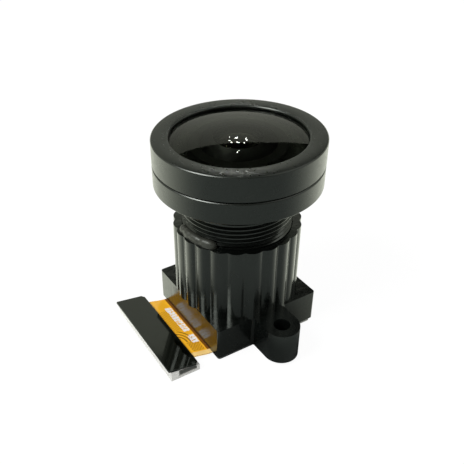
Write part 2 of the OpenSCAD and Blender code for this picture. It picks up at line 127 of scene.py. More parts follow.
def newCylinder(name, sides, radius, low, high, place=(0, 0)):
    clearSelection()
    bpy.ops.mesh.primitive_cylinder_add(vertices=sides, radius=radius, depth=high - low,
                                        location=(place[0], place[1], (low + high) / 2))
    piece = bpy.context.object
    piece.name = name
    bpy.ops.object.transform_apply(location=True, rotation=True, scale=True)
    return piece


def combine(piece, other, how):
    activate(piece)
    step = piece.modifiers.new(how, "BOOLEAN")
    step.object = other
    step.operation = how
    step.solver = "EXACT"
    bpy.ops.object.modifier_apply(modifier=step.name)
    bpy.data.objects.remove(other)


def softenEdges(piece, width, segments=2, angle=35):
    activate(piece)
    step = piece.modifiers.new("soften", "BEVEL")
    step.width = width
    step.segments = segments
    step.limit_method = "ANGLE"
    step.angle_limit = math.radians(angle)
    step.miter_outer = "MITER_ARC"
    bpy.ops.object.modifier_apply(modifier=step.name)


def tidyMesh(piece):
    startEdit(piece)
    bpy.ops.mesh.select_all(action="SELECT")
    bpy.ops.mesh.remove_doubles(threshold=hair)
    bpy.ops.mesh.normals_make_consistent(inside=False)
    endEdit()


def newPoint(name):
    # a piece of one vertex, left selected in edit mode
    clearSelection()
    bpy.ops.mesh.primitive_plane_add(size=0.1)
    piece = bpy.context.object
    piece.name = name
    startEdit(piece)
    bpy.ops.mesh.select_all(action="SELECT")
    bpy.ops.mesh.merge(type="CENTER")
    return piece


def drawProfile(name, points, closed=True):
    # the vertex is drawn out point by point in the XZ plane
    piece = newPoint(name)
    bpy.ops.transform.translate(value=(points[0][0], 0, points[0][1]))
    for before, after in zip(points, points[1:]):
        step = (after[0] - before[0], 0, after[1] - before[1])
        bpy.ops.mesh.extrude_vertices_move(TRANSFORM_OT_translate={"value": step})
    if closed:
        pick("VERT", lambda v: len(v.link_edges) == 1)
        bpy.ops.mesh.edge_face_add()
    return piece


def lathe(name, points, closed=True):
    piece = drawProfile(name, points, closed)
    bpy.ops.mesh.select_all(action="SELECT")
    bpy.ops.mesh.spin(steps=turningSteps, angle=2 * math.pi, center=(0, 0, 0), axis=(0, 0, 1))
    endEdit()
    tidyMesh(piece)
    return piece


def arc(edgeR, edgeZ, rise):
    # points of a dome's section from its edge to the axis
    sphereR = (edgeR ** 2 + rise ** 2) / (2 * abs(rise))
    side = 1 if rise > 0 else -1
    whole = math.asin(edgeR / sphereR)
    turns = [whole * (1 - i / arcSteps) for i in range(arcSteps + 1)]
    return [(sphereR * math.sin(t), edgeZ + rise - side * sphereR * (1 - math.cos(t))) for t in turns]


def settle(piece, smoothAngle):
    activate(piece)
    piece.scale = (1 / metre, 1 / metre, 1 / metre)
    bpy.ops.object.transform_apply(location=True, rotation=True, scale=True)
    bpy.ops.object.shade_smooth_by_angle(angle=math.radians(smoothAngle))
    flatter = piece.modifiers.new("flatter", "WEIGHTED_NORMAL")      # keeps large faces flat
    flatter.keep_sharp = True
    bpy.ops.object.modifier_apply(modifier=flatter.name)


def dress(piece, material, slot, *nodes):
    piece.data.materials.clear()
    piece.data.materials.append(material)
    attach(piece, "root")
    if nodes:
        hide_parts(*nodes)


# material helpers

darkTint = (0.94, 1.0, 0.93)         # dark materials reflect a little green
darkLimit = 0.2


def newMaterial(name, color, roughness, metallic=0.0, ior=1.5):
    material = bpy.data.materials.new(name)
    material.use_nodes = True
    tree = material.node_tree
    shader = tree.nodes["Principled BSDF"]
    shader.inputs["Base Color"].default_value = (*color, 1)
    shader.inputs["Roughness"].default_value = roughness
    shader.inputs["Metallic"].default_value = metallic
    shader.inputs["IOR"].default_value = ior
    tint = darkTint if sum(color) < darkLimit else (1, 1, 1)
    shader.inputs["Specular Tint"].default_value = (*tint, 1)
    return material, tree, shader


def millimetres(tree, stretch=(1, 1, 1)):
    place = tree.nodes.new("ShaderNodeTexCoord")
    scale = tree.nodes.new("ShaderNodeMapping")
    scale.inputs["Scale"].default_value = [metre * s for s in stretch]
    tree.links.new(place.outputs["Object"], scale.inputs["Vector"])
    return scale.outputs["Vector"]


def noise(tree, place, scale, detail=3.0, roughness=0.55):
    node = tree.nodes.new("ShaderNodeTexNoise")
    node.inputs["Scale"].default_value = scale
    node.inputs["Detail"].default_value = detail
    node.inputs["Roughness"].default_value = roughness
    tree.links.new(place, node.inputs["Vector"])
    return node.outputs["Fac"]


def between(tree, factor, low, high, start=0.3, end=0.7):
    node = tree.nodes.new("ShaderNodeMapRange")
    node.inputs["From Min"].default_value = start
    node.inputs["From Max"].default_value = end
    node.inputs["To Min"].default_value = low
    node.inputs["To Max"].default_value = high
    tree.links.new(factor, node.inputs["Value"])
    return node.outputs["Result"]


def blendColors(tree, factor, first, second):
    node = tree.nodes.new("ShaderNodeMix")
    node.data_type = "RGBA"
    for name, color in (("A", first), ("B", second)):
        if isinstance(color, bpy.types.NodeSocket):
            tree.links.new(color, node.inputs[name])
        else:
            node.inputs[name].default_value = (*color, 1)
    tree.links.new(factor, node.inputs["Factor"])
    return node.outputs["Result"]


def axisOf(tree, vector, axis):
    node = tree.nodes.new("ShaderNodeSeparateXYZ")
    tree.links.new(vector, node.inputs["Vector"])
    return node.outputs[axis]


def mixShaders(tree, share, first, second):
    node = tree.nodes.new("ShaderNodeMixShader")
    for socket, source in zip(node.inputs, (share, first, second)):
        tree.links.new(source, socket)
    return node.outputs[0]


def bump(tree, shader, height, depth, strength=1.0, below=None):
    node = tree.nodes.new("ShaderNodeBump")
    node.inputs["Strength"].default_value = strength
    node.inputs["Distance"].default_value = depth / metre
    tree.links.new(height, node.inputs["Height"])
    if below:
        tree.links.new(below, node.inputs["Normal"])
    tree.links.new(node.outputs["Normal"], shader.inputs["Normal"])
    return node.outputs["Normal"]


plasticLook = {
    "dark": (0.0008, 0.0011, 0.0010),
    "light": (0.0022, 0.0030, 0.0026),
    "ior": 1.72,
    "gloss": (0.15, 0.28),
    "tall": (1, 1, 0.18),             # the moulding's waves run up the holder
    "waveDepth": 0.032,
    "grainDepth": 0.0016,
}


def mouldedBlack():
    look = plasticLook
    material, tree, shader = newMaterial("mouldedBlack", look["light"], look["gloss"][0], ior=look["ior"])
    place = millimetres(tree)
    tall = millimetres(tree, look["tall"])
    tint = blendColors(tree, noise(tree, place, 0.6), look["dark"], look["light"])
    tree.links.new(tint, shader.inputs["Base Color"])
    gloss = between(tree, noise(tree, place, 1.6, 5), *look["gloss"])
    tree.links.new(gloss, shader.inputs["Roughness"])
    waves = bump(tree, shader, noise(tree, tall, 0.9, 2), look["waveDepth"], 0.8)
    bump(tree, shader, noise(tree, place, 9, 4), look["grainDepth"], 0.6, waves)
    return material


def turnedGrooves(tree, alongZ, pitch):
    node = tree.nodes.new("ShaderNodeTexWave")
    node.wave_type = "BANDS" if alongZ else "RINGS"
    if alongZ:
        node.bands_direction = "Z"
    else:
        node.rings_direction = "Z"
    node.inputs["Scale"].default_value = 1 / pitch
    node.inputs["Distortion"].default_value = 0.6
    node.inputs["Detail"].default_value = 2
    tree.links.new(millimetres(tree), node.inputs["Vector"])
    return node.outputs["Fac"]


anodisedLook = {
    "color": (0.0022, 0.0030, 0.0024),
    "lighter": 1.5,
    "ior": 1.66,
    "gloss": (0.26, 0.34),
    "groovePitch": 1.6,
    "grooveDepth": 0.0012,
    "grooveStrength": 0.35,
    "grainDepth": 0.0012,
    "grainStrength": 0.08,
}


def blackAnodised():
    look = anodisedLook
    color, pitch = look["color"], look["groovePitch"]
    material, tree, shader = newMaterial("blackAnodised", color, look["gloss"][0], ior=look["ior"])
    place = millimetres(tree)
    lighter = [c * look["lighter"] for c in color]
    tint = blendColors(tree, noise(tree, place, 0.5, 4), color, lighter)
    tree.links.new(tint, shader.inputs["Base Color"])
    gloss = between(tree, noise(tree, place, 2.2, 5), *look["gloss"])
    tree.links.new(gloss, shader.inputs["Roughness"])
    groove = (look["grooveDepth"], look["grooveStrength"])
    rings = bump(tree, shader, turnedGrooves(tree, False, pitch), *groove)
    bands = bump(tree, shader, turnedGrooves(tree, True, pitch), *groove, rings)
    bump(tree, shader, noise(tree, place, 14, 3), look["grainDepth"], look["grainStrength"], bands)
    return material


def clearGlass(name, tint, ior, reflection):
    material, tree, shader = newMaterial(name, tint, 0.0, ior=ior)
    shader.inputs["Transmission Weight"].default_value = 1.0
    shader.inputs["Specular Tint"].default_value = (*reflection, 1)
    place = millimetres(tree)
    gloss = between(tree, noise(tree, place, 1.2, 4), 0.0, 0.012)
    tree.links.new(gloss, shader.inputs["Roughness"])
    return material


contrast = 1.35                      # between a plain finish's lightest and darkest places


def plainFinish(name, color, roughness, metallic=0.0, grain=8.0, depth=0.002):
    material, tree, shader = newMaterial(name, color, roughness, metallic)
    place = millimetres(tree)
    darker = [c / contrast for c in color]
    tint = blendColors(tree, noise(tree, place, grain / 3, 4), darker, color)
    tree.links.new(tint, shader.inputs["Base Color"])
    gloss = between(tree, noise(tree, place, grain / 2, 4), roughness * 0.8, min(1.0, roughness * 1.2))
    tree.links.new(gloss, shader.inputs["Roughness"])
    bump(tree, shader, noise(tree, place, grain, 3), depth, 0.6)
    return material


plateLook = {
    "color": (0.0010, 0.0014, 0.0008),
    "ior": 1.72,
    "gloss": (0.04, 0.10),
    "scratchStretch": (14, 0.5, 1),
    "scratchShare": (0.62, 0.70),
    "scratchDepth": 0.0012,
    "swellDepth": 0.02,
}


def polishedPlate():
    look = plateLook
    material, tree, shader = newMaterial("polishedPlate", look["color"], look["gloss"][0], ior=look["ior"])
    place = millimetres(tree)
    across = millimetres(tree, look["scratchStretch"])
    gloss = between(tree, noise(tree, place, 0.9, 5), *look["gloss"])
    tree.links.new(gloss, shader.inputs["Roughness"])
    scratches = between(tree, noise(tree, across, 0.7, 6, 0.7), 0.0, 1.0, *look["scratchShare"])
    swell = bump(tree, shader, noise(tree, place, 0.25, 1), look["swellDepth"], 0.6)
    bump(tree, shader, scratches, look["scratchDepth"], 0.5, swell)
    return material


def mathNode(tree, kind, first, second=None, third=None):
    node = tree.nodes.new("ShaderNodeMath")
    node.operation = kind
    for socket, value in zip(node.inputs, (first, second, third)):
        if isinstance(value, (int, float)):
            socket.default_value = value
        elif value is not None:
            tree.links.new(value, socket)
    return node.outputs[0]


def within(tree, value, low, high):
    return mathNode(tree, "COMPARE", value, (low + high) / 2, (high - low) / 2)


def stripes(tree, value, pitch, share):
    return mathNode(tree, "LESS_THAN", mathNode(tree, "FLOORED_MODULO", value, pitch), pitch * share)


def field(tree, x, y, box):
    return mathNode(tree, "MULTIPLY", within(tree, x, box[0], box[1]), within(tree, y, box[2], box[3]))


printed = {
    "blocks": [(-7.72, -6.86, 0.52, 3.78), (-7.68, -6.84, -0.95, 0.43), (-7.72, -6.84, -3.05, -1.62)],
    "blockPitch": 0.47,
    "blockShare": 0.90,
    "wornScale": 3.6,
    "wornShare": 0.40,
    "facing": 0.3,                    # only faces that look up carry the print
    "wobbleScale": 2.2,
    "wobble": 0.08,
    "arcCentre": (-9.3, -2.6),
    "arcRadii": (1.05, 1.5, 2.0),
    "arcWidth": 0.13,
    "arcField": (-8.9, -6.5, -2.75, -0.75),
    "hatchField": (-8.45, -6.9, -4.45, -2.85),
    "hatchPitch": 0.36,
    "hatchShare": 0.32,
    "hatchDepth": 0.62,
    "edgeField": (-8.9, -6.4, -5.3, -4.62),
    "edgeShare": 0.8,
    "tracksField": (-8.75, -7.75, -0.6, 3.2),
    "trackPitch": 0.3,
    "trackShare": 0.4,
    "trackSlope": 0.5,
    "trackDepth": 0.5,
    # painted shadow: a dark line on the flex along the holder's foot, drawn in the bare film's colour
    "shadowField": (-6.75, -6.0, -6.0, 6.0),
    "copper": (1.0, 0.50, 0.02),
    "bareAndShadow": (0.20, 0.07, 0.005),
    "pale": (1.0, 0.72, 0.30),
    "white": (1.0, 0.98, 0.98),
    "roughness": 0.22,
    "ior": 1.6,
    "coat": 0.5,
    "coatRoughness": 0.12,
    "reliefDepth": 0.01,
    "swellDepth": 0.006,
}


def coatedFilm():
    # copper under a clear yellow film, with plain worn bars of white print that spell nothing, and a painted
    # shadow line where the film runs under the holder's foot
    m = printed
    material, tree, shader = newMaterial("polyimide", m["copper"], m["roughness"], ior=m["ior"])
    place = millimetres(tree)
    wobble = noise(tree, place, m["wobbleScale"], 2)
    wobble = mathNode(tree, "MULTIPLY_ADD", wobble, 2 * m["wobble"], -m["wobble"])
    x = mathNode(tree, "ADD", axisOf(tree, place, "X"), wobble)
    y = mathNode(tree, "SUBTRACT", axisOf(tree, place, "Y"), wobble)

    fromX = mathNode(tree, "SUBTRACT", x, m["arcCentre"][0])
    fromY = mathNode(tree, "SUBTRACT", y, m["arcCentre"][1])
    squares = [mathNode(tree, "MULTIPLY", value, value) for value in (fromX, fromY)]
    away = mathNode(tree, "SQRT", mathNode(tree, "ADD", *squares))
    arcs = 0.0
    for radius in m["arcRadii"]:
        line = mathNode(tree, "COMPARE", away, radius, m["arcWidth"] / 2)
        arcs = mathNode(tree, "MAXIMUM", arcs, line)
    arcs = mathNode(tree, "MULTIPLY", arcs, field(tree, x, y, m["arcField"]))

    rising = stripes(tree, mathNode(tree, "ADD", x, y), m["hatchPitch"], m["hatchShare"])
    falling = stripes(tree, mathNode(tree, "SUBTRACT", x, y), m["hatchPitch"], m["hatchShare"])
    hatch = mathNode(tree, "MAXIMUM", rising, falling)
    hatch = mathNode(tree, "MULTIPLY", hatch, field(tree, x, y, m["hatchField"]))
    hatch = mathNode(tree, "MULTIPLY", hatch, m["hatchDepth"])

    slanted = mathNode(tree, "MULTIPLY_ADD", y, m["trackSlope"], x)
    tracks = stripes(tree, slanted, m["trackPitch"], m["trackShare"])
    tracks = mathNode(tree, "MULTIPLY", tracks, field(tree, x, y, m["tracksField"]))
    tracks = mathNode(tree, "MULTIPLY", tracks, m["trackDepth"])

    # dark places: the bare film between the copper, plus the painted shadow line along the holder's foot
    dark = mathNode(tree, "MAXIMUM", arcs, hatch)
    for part in (tracks, field(tree, x, y, m["shadowField"])):
        dark = mathNode(tree, "MAXIMUM", dark, part)
    edge = mathNode(tree, "MULTIPLY", field(tree, x, y, m["edgeField"]), m["edgeShare"])

    white = 0.0
    worn = mathNode(tree, "GREATER_THAN", noise(tree, place, m["wornScale"], 1), m["wornShare"])
    for box in m["blocks"]:
        bars = stripes(tree, mathNode(tree, "SUBTRACT", y, box[2]), m["blockPitch"], m["blockShare"])
        bars = mathNode(tree, "MULTIPLY", bars, worn)
        bars = mathNode(tree, "MULTIPLY", bars, field(tree, x, y, box))
        white = mathNode(tree, "MAXIMUM", white, bars)
    normal = tree.nodes.new("ShaderNodeTexCoord").outputs["Normal"]
    upward = mathNode(tree, "GREATER_THAN", axisOf(tree, normal, "Z"), m["facing"])
    white = mathNode(tree, "MULTIPLY", white, upward)

    color = blendColors(tree, dark, m["copper"], m["bareAndShadow"])
    color = blendColors(tree, edge, color, m["pale"])
    color = blendColors(tree, white, color, m["white"])
    tree.links.new(color, shader.inputs["Base Color"])
    shader.inputs["Coat Weight"].default_value = m["coat"]
    shader.inputs["Coat Roughness"].default_value = m["coatRoughness"]
    relief = bump(tree, shader, mathNode(tree, "SUBTRACT", white, dark), m["reliefDepth"], 0.5)
    bump(tree, shader, noise(tree, place, 2.5, 3), m["swellDepth"], 0.5, relief)
    return material


holderPlastic = mouldedBlack()
anodised = blackAnodised()
threadBlack = plainFinish("threadBlack", (0.0016, 0.0020, 0.0018), 0.16, grain=5.0, depth=0.001)
threadBlack.node_tree.nodes["Principled BSDF"].inputs["IOR"].default_value = 1.8
innerBlack = plainFinish("innerBlack", (0.006, 0.006, 0.006), 0.6)
frontCoating = clearGlass("frontCoating", (0.34, 0.36, 0.30), 1.58, (0.10, 0.11, 0.06))
innerGlass = clearGlass("innerGlass", (0.25, 0.3, 0.32), 1.45, (0.03, 0.06, 0.05))
glassInk = plainFinish("glassInk", (0.004, 0.004, 0.004), 0.5)
resin = plainFinish("resin", (0.030, 0.031, 0.025), 0.42, grain=2.0, depth=0.01)
polyimide = coatedFilm()
plateFinish = polishedPlate()
palePlastic = plainFinish("palePlastic", (0.74, 0.74, 0.70), 0.35)
brushedSteel = plainFinish("brushedSteel", (0.55, 0.55, 0.56), 0.32, 1.0)
darkSteel = plainFinish("darkSteel", (0.42, 0.42, 0.40), 0.4, 1.0)
gold = plainFinish("gold", (0.78, 0.55, 0.20), 0.25, 1.0)
sealRubber = plainFinish("sealRubber", (0.012, 0.012, 0.012), 0.65)
filterGlass = clearGlass("filterGlass", (0.75, 0.9, 0.85), 1.5, (0.7, 0.85, 1.0))
silicon = plainFinish("silicon", (0.05, 0.055, 0.075), 0.15, 0.6)
solder = plainFinish("solder", (0.62, 0.62, 0.62), 0.3, 1.0)
capacitorCeramic = plainFinish("capacitorCeramic", (0.42, 0.29, 0.17), 0.5)
resistorCeramic = plainFinish("resistorCeramic", (0.06, 0.06, 0.065), 0.45)
chipPlastic = plainFinish("chipPlastic", (0.025, 0.027, 0.03), 0.5)
print("materials made")


# the camera
viewpoint = {
    "place": (-32.78, -48.28, 50.55),
    "forward": (0.36406, 0.72125, -0.58929),
    "up": (0.31580, 0.49963, 0.80662),
    "lens": 49.0,
    "shiftX": 0.1336,
    "shiftY": 0.0453,
    "sensorWidth": 36,
    "clip": (0.005, 20),
}


def makeCamera():
    data = bpy.data.cameras.new("camera")
    camera = bpy.data.objects.new("camera", data)
    bpy.context.scene.collection.objects.link(camera)
    forward = Vector(viewpoint["forward"]).normalized()
    right = forward.cross(Vector(viewpoint["up"])).normalized()
    up = right.cross(forward)
    turned = camera.matrix_world.to_3x3()
    for row in range(3):
        turned[row] = (right[row], up[row], -forward[row])
    camera.matrix_world = turned.to_4x4()
    camera.location = Vector(viewpoint["place"]) / metre
    data.lens = viewpoint["lens"]
    data.sensor_width = viewpoint["sensorWidth"]
    data.shift_x = viewpoint["shiftX"]
    data.shift_y = viewpoint["shiftY"]
    data.clip_start, data.clip_end = viewpoint["clip"]
    bpy.context.scene.camera = camera


# plain studio: a pale floor, two soft lamps, and a white surrounding that is dimmer in reflections
studio = {
    "floorSize": 3000,
    "floorColor": (0.82, 0.82, 0.82),
    "surroundLight": 0.62,
    "surroundSeen": 1.0,
    "mirrorTint": (0.97, 1.0, 0.86),
    "mirrorLight": 0.48,
    "mirrorFront": 0.10,
    "floorGlow": 0.92,
    "floorSeen": 1.03,
    "shadeTurn": -65,                 # turns the floor's X towards its bright side, behind the object
    "shadeFrom": -0.75,
    "shadeTo": 0.45,
    "floorShaded": (0.24, 0.26, 0.25),
    "nearFloor": (10, 20),
    "nearShade": 0.35,
    "floorBright": 1.6,
    "cardTurn": 60,
    "cardAway": 400,
    "cardTop": 1500,
    "cardEdge": [(-420, 60), (-165, 246), (-97, 290), (-33, 303), (55, 308), (96, 317), (260, 380)],
    "keyPlace": (-255, 10, 282),
    "keySize": 160,
    "keyPower": 1.3,
    "sparks": [                       # direction, height and width of each tiny lamp
        (56.8, 31.0, 0.75), (56.1, 34.9, 0.75), (59.9, 33.0, 0.5), (59.1, 35.2, 0.4), (59.6, 30.2, 0.3),
        (52.6, 31.2, 0.35), (52.0, 32.8, 0.35), (52.9, 35.4, 0.3), (56.3, 43.3, 0.45), (55.4, 41.5, 0.3),
    ],
    "sparkFrom": (-1.0, -1.6, 22.9),
    "sparkAway": 40,
    "sparkLight": 60.0,
    "fillPlace": (180, -160, 220),
    "fillSize": 300,
    "fillPower": 0.12,
}


def lightPathShare(tree, outputs):
    path = tree.nodes.new("ShaderNodeLightPath")
    total = path.outputs[outputs[0]]
    for name in outputs[1:]:
        total = mathNode(tree, "MAXIMUM", total, path.outputs[name])
    return total


mirrorRays = ("Is Glossy Ray", "Is Transmission Ray")


def towardsBack(tree, vector, low=0.0, high=1.0):
    # low in front of the object, rising with the direction to high behind it
    turn = tree.nodes.new("ShaderNodeMapping")
    turn.inputs["Rotation"].default_value = (0, 0, math.radians(studio["shadeTurn"]))
    tree.links.new(vector, turn.inputs["Vector"])
    unit = tree.nodes.new("ShaderNodeVectorMath")
    unit.operation = "NORMALIZE"
    tree.links.new(turn.outputs["Vector"], unit.inputs[0])
    ramp = tree.nodes.new("ShaderNodeMapRange")
    ramp.interpolation_type = "SMOOTHSTEP"
    for name, value in (("From Min", studio["shadeFrom"]), ("From Max", studio["shadeTo"]),
                        ("To Min", low), ("To Max", high)):
        ramp.inputs[name].default_value = value
    tree.links.new(axisOf(tree, unit.outputs["Vector"], "X"), ramp.inputs["Value"])
    return ramp.outputs["Result"]


def makeWorld():
    world = bpy.data.worlds.new("studio")
    bpy.context.scene.world = world
    world.use_nodes = True
    tree = world.node_tree
    lightPart = tree.nodes["Background"]
    mirrorPart = tree.nodes.new("ShaderNodeBackground")
    seenPart = tree.nodes.new("ShaderNodeBackground")
    for part in (lightPart, seenPart):
        part.inputs["Color"].default_value = (1, 1, 1, 1)
    lightPart.inputs["Strength"].default_value = studio["surroundLight"]
    seenPart.inputs["Strength"].default_value = studio["surroundSeen"]
    mirrorPart.inputs["Color"].default_value = (*studio["mirrorTint"], 1)
    around = tree.nodes.new("ShaderNodeTexCoord")
    glow = towardsBack(tree, around.outputs["Generated"], studio["mirrorFront"], studio["mirrorLight"])
    tree.links.new(glow, mirrorPart.inputs["Strength"])
    lit = mixShaders(tree, lightPathShare(tree, mirrorRays), lightPart.outputs[0], mirrorPart.outputs[0])
    whole = mixShaders(tree, lightPathShare(tree, ["Is Camera Ray"]), lit, seenPart.outputs[0])
    tree.links.new(whole, tree.nodes["World Output"].inputs["Surface"])


def floorShade(tree, ramp):
    # painted shade on the floor as reflections see it in front of the object, darker still close to the
    # object
    place = tree.nodes.new("ShaderNodeTexCoord")
    away = tree.nodes.new("ShaderNodeVectorMath")
    away.operation = "LENGTH"
    tree.links.new(place.outputs["Object"], away.inputs[0])
    start, end = [edge / metre for edge in studio["nearFloor"]]
    share = between(tree, away.outputs["Value"], studio["nearShade"], 1.0, start, end)
    scale = tree.nodes.new("ShaderNodeVectorMath")
    scale.operation = "SCALE"
    scale.inputs[0].default_value = studio["floorShaded"]
    tree.links.new(share, scale.inputs["Scale"])
    tree.links.new(scale.outputs["Vector"], ramp)


def makeFloor():
    clearSelection()
    bpy.ops.mesh.primitive_plane_add(size=studio["floorSize"] / metre, location=(0, 0, restZ / metre))
    floor = bpy.context.object
    floor.name = "floor"
    material, tree, shader = newMaterial("floorPaper", studio["floorColor"], 0.9)
    shader.inputs["Specular IOR Level"].default_value = 0
    seen = tree.nodes.new("ShaderNodeEmission")
    seen.inputs["Strength"].default_value = studio["floorSeen"]
    # reflections see a painted glow on the floor behind the object, and painted shade in front of it and
    # close to it
    bright = tree.nodes.new("ShaderNodeEmission")
    bright.inputs["Color"].default_value = (*studio["mirrorTint"], 1)
    bright.inputs["Strength"].default_value = studio["floorBright"]
    shaded = tree.nodes.new("ShaderNodeBsdfDiffuse")
    floorShade(tree, shaded.inputs["Color"])
    place = tree.nodes.new("ShaderNodeTexCoord")
    back = towardsBack(tree, place.outputs["Object"])
    mirrored = mixShaders(tree, back, shaded.outputs[0], bright.outputs[0])
    lit = mixShaders(tree, lightPathShare(tree, mirrorRays), shader.outputs[0], mirrored)
    seenShare = mathNode(tree, "MULTIPLY", lightPathShare(tree, ["Is Camera Ray"]), studio["floorGlow"])
    whole = mixShaders(tree, seenShare, lit, seen.outputs[0])
    tree.links.new(whole, tree.nodes["Material Output"].inputs["Surface"])
    floor.data.materials.append(material)


def makeFlag():
    # a black card behind the object, seen only in reflections
    toward = math.radians(studio["cardTurn"])
    out = Vector((math.cos(toward), math.sin(toward), 0)) * studio["cardAway"]
    side = Vector((-math.sin(toward), math.cos(toward), 0))
    low, high = studio["cardEdge"][0], studio["cardEdge"][-1]
    corners = [(low[0], studio["cardTop"]), (high[0], studio["cardTop"])]
    corners += reversed(studio["cardEdge"])
    places = [out + side * across + Vector((0, 0, up)) for across, up in corners]
    flag = newPoint("blackCard")
    bpy.ops.transform.translate(value=places[0] / metre)
    for before, after in zip(places, places[1:]):
        bpy.ops.mesh.extrude_vertices_move(TRANSFORM_OT_translate={"value": (after - before) / metre})
    bpy.ops.mesh.select_all(action="SELECT")
    bpy.ops.mesh.edge_face_add()
    endEdit()
    material, _, shader = newMaterial("cardBlack", (0.002, 0.002, 0.002), 1.0)
    shader.inputs["Specular IOR Level"].default_value = 0
    flag.data.materials.append(material)
    flag.visible_camera = flag.visible_diffuse = flag.visible_shadow = flag.visible_transmission = False


def makeLamp(name, place, size, power):
    data = bpy.data.lights.new(name, "AREA")
    data.size = size / metre
    data.energy = power
    lamp = bpy.data.objects.new(name, data)
    lamp.location = Vector(place) / metre
    lamp.rotation_euler = Vector(place).to_track_quat("Z", "Y").to_euler()
    bpy.context.scene.collection.objects.link(lamp)


def makeSpark(turn, lift, width):
    # a tiny bright disc beside the lens, seen only as a highlight in polished surfaces
    clearSelection()
    turn, lift = math.radians(turn), math.radians(lift)
    away = Vector((math.cos(turn) * math.cos(lift), math.sin(turn) * math.cos(lift), math.sin(lift)))
    aim = away.to_track_quat("Z", "Y").to_euler()
    start = Vector(studio["sparkFrom"])
    bpy.ops.mesh.primitive_circle_add(vertices=24, radius=width / metre / 2, fill_type="NGON",
                                      location=(start + away * studio["sparkAway"]) / metre, rotation=aim)
    spark = bpy.context.object
    spark.name = "spark"
    material, _, shader = newMaterial("sparkGlow", (0, 0, 0), 1.0)
    shader.inputs["Emission Color"].default_value = (1, 1, 1, 1)
    shader.inputs["Emission Strength"].default_value = studio["sparkLight"]
    spark.data.materials.append(material)
    spark.visible_camera = spark.visible_diffuse = spark.visible_shadow = spark.visible_transmission = False


def makeStudio():
    bpy.context.scene.view_settings.view_transform = "Standard"
    makeWorld()
    makeFloor()
    makeFlag()
    makeLamp("keyLamp", studio["keyPlace"], studio["keySize"], studio["keyPower"])
    makeLamp("fillLamp", studio["fillPlace"], studio["fillSize"], studio["fillPower"])
    for turn, lift, width in studio["sparks"]:
        makeSpark(turn, lift, width)


makeCamera()
makeStudio()
print("camera and studio ready")


holder = {
    "baseWidth": 13.0,
    "baseHeight": 3.85,
    "cornerRadius": 0.3,
    "cornerSteps": 6,
    "flutes": 23,
    "fluteRadius": 1.35,
    "fluteTurn": -45.5,
    "stepsPerFlute": 32,
    "notchRound": 0.05,
    "earY": 9.0,
    "earWidth": 3.9,
    "earSteps": 24,
    "earFillet": 0.35,
    "filletSteps": 5,
    "earHole": 1.8,
    "earHoleSides": 48,
    "cavityWidth": 9.8,
    "cavityHeight": 1.9,
    "floorTop": 2.8,
    "windowWidth": 5.6,
    "pocketWidth": 7.3,
    "pocketDepth": 0.15,
    "boreRadius": 6.04,
    "boreSides": 128,
    "pegRadius": 0.4,
    "pegSides": 32,
    "pegAt": 5.7,
    "beyond": 0.5,                    # how far a peg or a pocket runs on inside the solid
    "edgeRound": 0.06,
}


def fluteRadiusAt(angle, ringRadius):
    # distance from the lens axis to the fluted outside, with the notches between flutes rounded
    pitch = 2 * math.pi / holder["flutes"]
    turn = (angle - math.radians(holder["fluteTurn"]) + pitch / 2) % pitch - pitch / 2
    side = ringRadius * math.sin(turn)
    radius = ringRadius * math.cos(turn) + math.sqrt(holder["fluteRadius"] ** 2 - side ** 2)
    low = ringRadius * math.cos(pitch / 2)
    low += math.sqrt(holder["fluteRadius"] ** 2 - (ringRadius * math.sin(pitch / 2)) ** 2)
    return max(radius, low + holder["notchRound"])


